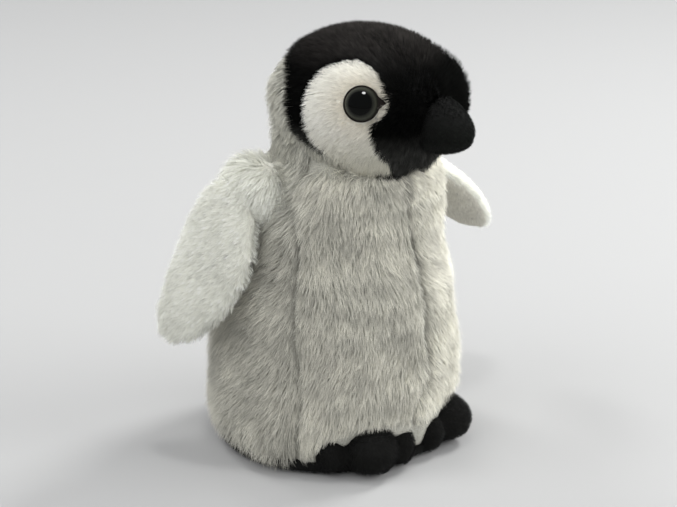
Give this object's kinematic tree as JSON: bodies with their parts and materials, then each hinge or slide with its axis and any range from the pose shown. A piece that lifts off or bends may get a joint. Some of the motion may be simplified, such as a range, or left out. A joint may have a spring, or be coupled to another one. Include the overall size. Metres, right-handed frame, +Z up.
{
  "type": "plush toy penguin chick",
  "caption": "Standing plush penguin chick with a grey long-pile body, black hood, white cheeks, short beak, flippers that lift and a head that turns a little.",
  "frame": {"origin": "middle of the flat base, on the floor it stands on", "axes": "+Z up, the chick faces -Y, +X is its own left side"},
  "size_m": [0.1928, 0.1434, 0.2088],
  "materials": {
    "fur_grey": "long pile, light grey",
    "fur_white": "short pile, off-white",
    "fur_nape": "pile, light grey",
    "fur_black": "dense pile, black",
    "velour_black": "short velour, black",
    "stuffing": "fibre filling",
    "pellet_cloth": "thin bag cloth",
    "pellets": "small pellets",
    "eye": "polished black dome",
    "eye_backing": "dark brown backing",
    "washer": "plain"
  },
  "bodies": {
    "torso": {"base_panel": "velour_black", "front_panel_left": "fur_grey", "front_panel_right": "fur_grey", "back_panel_left": "fur_grey", "back_panel_right": "fur_grey", "torso_stuffing": "stuffing", "pellet_bag": "pellet_cloth", "pellets": "pellets", "foot_upper_left": "velour_black", "foot_sole_left": "velour_black", "foot_stuffing_left": "stuffing", "foot_upper_right": "velour_black", "foot_sole_right": "velour_black", "foot_stuffing_right": "stuffing"},
    "head": {"hood_panel": "fur_black", "chin_panel": "fur_black", "cheek_patch_left": "fur_white", "cheek_patch_right": "fur_white", "nape_panel_left": "fur_nape", "nape_panel_right": "fur_nape", "head_stuffing": "stuffing", "beak_upper": "velour_black", "beak_lower": "velour_black", "beak_stuffing": "stuffing", "eye_left": "eye", "eye_right": "eye", "eye_rim_left": "eye_backing", "eye_rim_right": "eye_backing", "eye_washer_left": "washer", "eye_washer_right": "washer"},
    "flipper_left": {"flipper_outer_left": "fur_white", "flipper_inner_left": "fur_white", "flipper_stuffing_left": "stuffing"},
    "flipper_right": {"flipper_outer_right": "fur_white", "flipper_inner_right": "fur_white", "flipper_stuffing_right": "stuffing"}
  },
  "joints": [
    {"name": "head_turn", "type": "hinge", "parent": "torso", "child": "head", "pos_m": [0, -0.014, 0.1463], "axis": [0, 0, 1], "range_deg": [-25, 25], "stiffness_Nm_per_rad": 0.05},
    {"name": "flipper_lift_left", "type": "hinge", "parent": "torso", "child": "flipper_left", "pos_m": [0.0545, 0.009, 0.129], "axis": [0, -0.9903, 0.1392], "range_deg": [-22, 22], "stiffness_Nm_per_rad": 0.06},
    {"name": "flipper_lift_right", "type": "hinge", "parent": "torso", "child": "flipper_right", "pos_m": [-0.054, 0.013, 0.132], "axis": [0, 0.9511, 0.309], "range_deg": [-5, 60], "stiffness_Nm_per_rad": 0.06}
  ]
}
